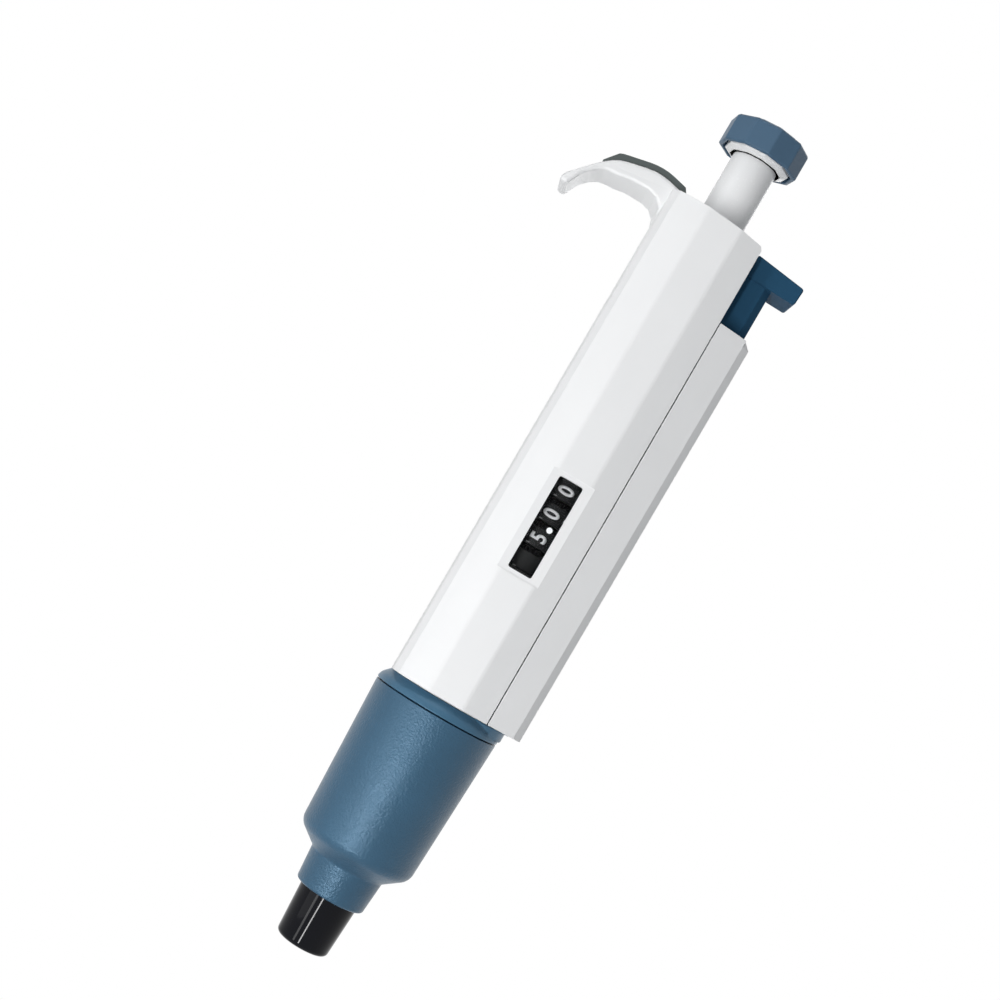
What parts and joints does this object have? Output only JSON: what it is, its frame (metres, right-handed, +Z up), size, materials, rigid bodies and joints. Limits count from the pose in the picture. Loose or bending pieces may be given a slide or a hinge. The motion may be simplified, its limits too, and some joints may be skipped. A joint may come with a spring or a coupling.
{
  "type": "micropipette",
  "caption": "Single-channel air-displacement micropipette with a turning plunger knob, number counter, finger hook and sprung tip ejector.",
  "frame": {"origin": "centre of the nozzle's end, on the pipette's axis, in the plane that the tip's floor meets", "axes": "+Z up the axis from the nozzle to the knob, +X towards the tip ejector, -X towards the finger hook, -Y out of the counter's window"},
  "size_m": [0.0685, 0.0352, 0.2413],
  "materials": {
    "white_shell": "satin",
    "slate_blue": "fine grain",
    "dark_blue": "satin",
    "black_nozzle": "gloss",
    "grip_grey": "satin",
    "counter_black": "matt",
    "clear_lens": "polished",
    "frit_white": "porous",
    "inner_grey": "moulded",
    "seal_rubber": "matt",
    "steel": "bright",
    "brass": "turned"
  },
  "bodies": {
    "housing": {"main_housing": "white_shell", "ejector_cover": "white_shell", "hook_inlay": "grip_grey", "window_lens": "clear_lens", "top_bush": "inner_grey", "tube_wiper": "seal_rubber", "nozzle": "black_nozzle", "nozzle_filter": "frit_white", "cylinder": "inner_grey", "rod_guide": "inner_grey", "stop_plate": "inner_grey", "counter_frame": "counter_black", "pinion_shaft": "steel", "setting_nut": "inner_grey", "blowout_spring": "steel", "ejector_spring": "steel"},
    "blowout_stage": {"blowout_cup": "brass", "main_spring": "steel"},
    "piston_train": {"piston": "frit_white", "piston_seal": "seal_rubber", "piston_rod": "steel", "thrust_collar": "brass"},
    "knob": {"plunger_tube": "white_shell", "spindle": "steel", "knob_core": "white_shell", "knob_ring": "slate_blue", "knob_cap": "slate_blue"},
    "screw": {"setting_screw": "brass"},
    "hundredths": {"drive_sleeve": "counter_black", "wheel_hundredths": "counter_black"},
    "tenths": {"wheel_tenths": "counter_black"},
    "units": {"wheel_units": "counter_black"},
    "tens": {"wheel_tens": "counter_black"},
    "tenths_pinion": {"pinion_tenths": "frit_white"},
    "units_pinion": {"pinion_units": "frit_white"},
    "tens_pinion": {"pinion_tens": "frit_white"},
    "ejector": {"ejector_button": "dark_blue", "ejector_rod": "steel", "ejector_ring": "slate_blue", "ejector_sleeve": "slate_blue"}
  },
  "joints": [
    {"name": "blowout_press", "type": "slide", "parent": "housing", "child": "blowout_stage", "axis": [0, 0, 1], "range_m": [-0.003, 0], "stiffness_N_per_m": 2500, "springref_m": 0.004, "deforming": ["blowout_spring"]},
    {"name": "plunger_press", "type": "slide", "parent": "blowout_stage", "child": "piston_train", "axis": [0, 0, 1], "range_m": [-0.0127, 0], "stiffness_N_per_m": 250, "springref_m": 0.012, "deforming": ["main_spring"]},
    {"name": "volume_turn", "type": "hinge", "parent": "piston_train", "child": "knob", "pos_m": [0, 0, 0.23575], "axis": [0, 0, 1], "range_deg": [-2880, 0]},
    {"name": "screw_turn", "type": "hinge", "parent": "housing", "child": "screw", "pos_m": [0, 0, 0.1831], "axis": [0, 0, 1], "range_deg": [-2880, 0]},
    {"name": "hundredths_turn", "type": "hinge", "parent": "housing", "child": "hundredths", "pos_m": [0, 0, 0.1321], "axis": [0, 0, 1], "range_deg": [-2880, 0]},
    {"name": "tenths_turn", "type": "hinge", "parent": "housing", "child": "tenths", "pos_m": [0, 0, 0.1253], "axis": [0, 0, 1], "range_deg": [-1440, 0]},
    {"name": "units_turn", "type": "hinge", "parent": "housing", "child": "units", "pos_m": [0, 0, 0.1185], "axis": [0, 0, 1], "range_deg": [-144, 0]},
    {"name": "tens_turn", "type": "hinge", "parent": "housing", "child": "tens", "pos_m": [0, 0, 0.1117], "axis": [0, 0, 1], "range_deg": [-14.4, 0]},
    {"name": "tenths_pinion_turn", "type": "hinge", "parent": "housing", "child": "tenths_pinion", "pos_m": [0, 0.0105, 0.1287], "axis": [0, 0, 1], "range_deg": [0, 3600]},
    {"name": "units_pinion_turn", "type": "hinge", "parent": "housing", "child": "units_pinion", "pos_m": [0, 0.0105, 0.1219], "axis": [0, 0, 1], "range_deg": [0, 360]},
    {"name": "tens_pinion_turn", "type": "hinge", "parent": "housing", "child": "tens_pinion", "pos_m": [0, 0.0105, 0.1151], "axis": [0, 0, 1], "range_deg": [0, 36]},
    {"name": "eject_press", "type": "slide", "parent": "housing", "child": "ejector", "axis": [0, 0, 1], "range_m": [-0.011, 0], "stiffness_N_per_m": 180, "springref_m": 0.009, "deforming": ["ejector_spring"]}
  ],
  "couplings": [
    {"joint": "screw_turn", "follows": "volume_turn", "ratio": 1},
    {"joint": "hundredths_turn", "follows": "volume_turn", "ratio": 1},
    {"joint": "tenths_turn", "follows": "volume_turn", "ratio": 0.5},
    {"joint": "units_turn", "follows": "volume_turn", "ratio": 0.05},
    {"joint": "tens_turn", "follows": "volume_turn", "ratio": 0.005},
    {"joint": "tenths_pinion_turn", "follows": "volume_turn", "ratio": -1.25},
    {"joint": "units_pinion_turn", "follows": "volume_turn", "ratio": -0.125},
    {"joint": "tens_pinion_turn", "follows": "volume_turn", "ratio": -0.0125}
  ]
}
